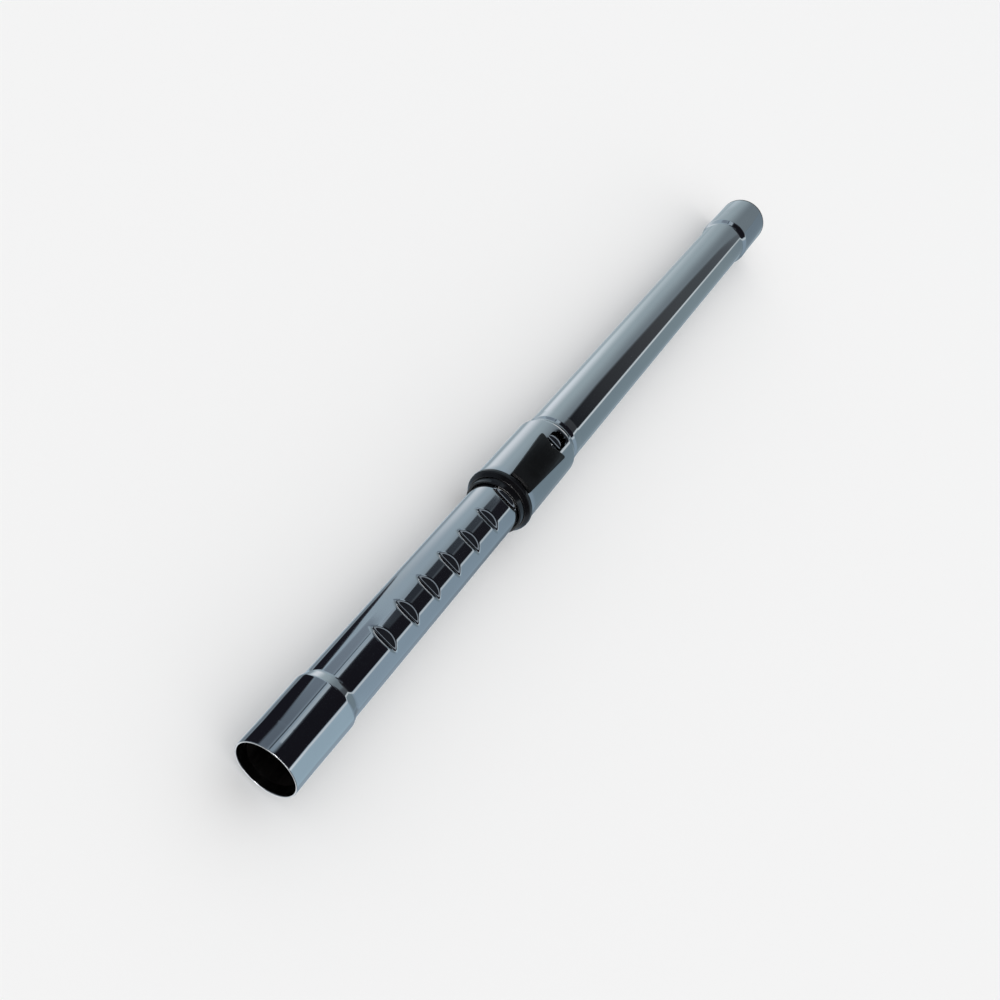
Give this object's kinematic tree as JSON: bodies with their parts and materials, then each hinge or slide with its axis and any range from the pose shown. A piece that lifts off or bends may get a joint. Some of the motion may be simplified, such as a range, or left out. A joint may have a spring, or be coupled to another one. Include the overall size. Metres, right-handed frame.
{
  "type": "telescopic vacuum wand",
  "caption": "Telescopic chromed steel vacuum cleaner wand with a notched inner tube, a black sliding release button on the collar, a spigot end and a lined socket end.",
  "frame": {"origin": "centre of the socket's mouth, at the handle end", "axes": "+X along the wand's axis to the nozzle end, +Z through the middle of the button"},
  "size_m": [0.6545, 0.0418, 0.0433],
  "materials": {
    "chrome": "polished",
    "gloss_black": "gloss",
    "satin_black": "satin",
    "natural_acetal": "satin",
    "ground_steel": "ground",
    "spring_steel": "drawn",
    "grey_felt": "felt"
  },
  "bodies": {
    "outer": {"outer_tube": "chrome", "end_ring": "gloss_black", "guide_sleeve": "gloss_black", "wiper_ring": "grey_felt", "end_liner": "satin_black", "return_spring_left": "spring_steel", "return_spring_right": "spring_steel"},
    "inner": {"inner_tube": "chrome", "rear_bush": "natural_acetal"},
    "button": {"slide_button": "satin_black", "latch_slider": "natural_acetal"},
    "roller": {"locking_roller": "ground_steel"}
  },
  "joints": [
    {"name": "tube_slide", "type": "slide", "parent": "outer", "child": "inner", "axis": [1, 0, 0], "range_m": [-0.1442, 0.103]},
    {"name": "button_slide", "type": "slide", "parent": "outer", "child": "button", "axis": [-1, 0, 0], "range_m": [0, 0.006], "stiffness_N_per_m": 500, "springref_m": -0.004, "deforming": ["return_spring_left", "return_spring_right"]},
    {"name": "roller_lift", "type": "slide", "parent": "outer", "child": "roller", "axis": [0, 0, 1], "range_m": [0, 0.0024]}
  ],
  "couplings": [
    {"joint": "roller_lift", "follows": "button_slide", "ratio": 0.3867}
  ]
}
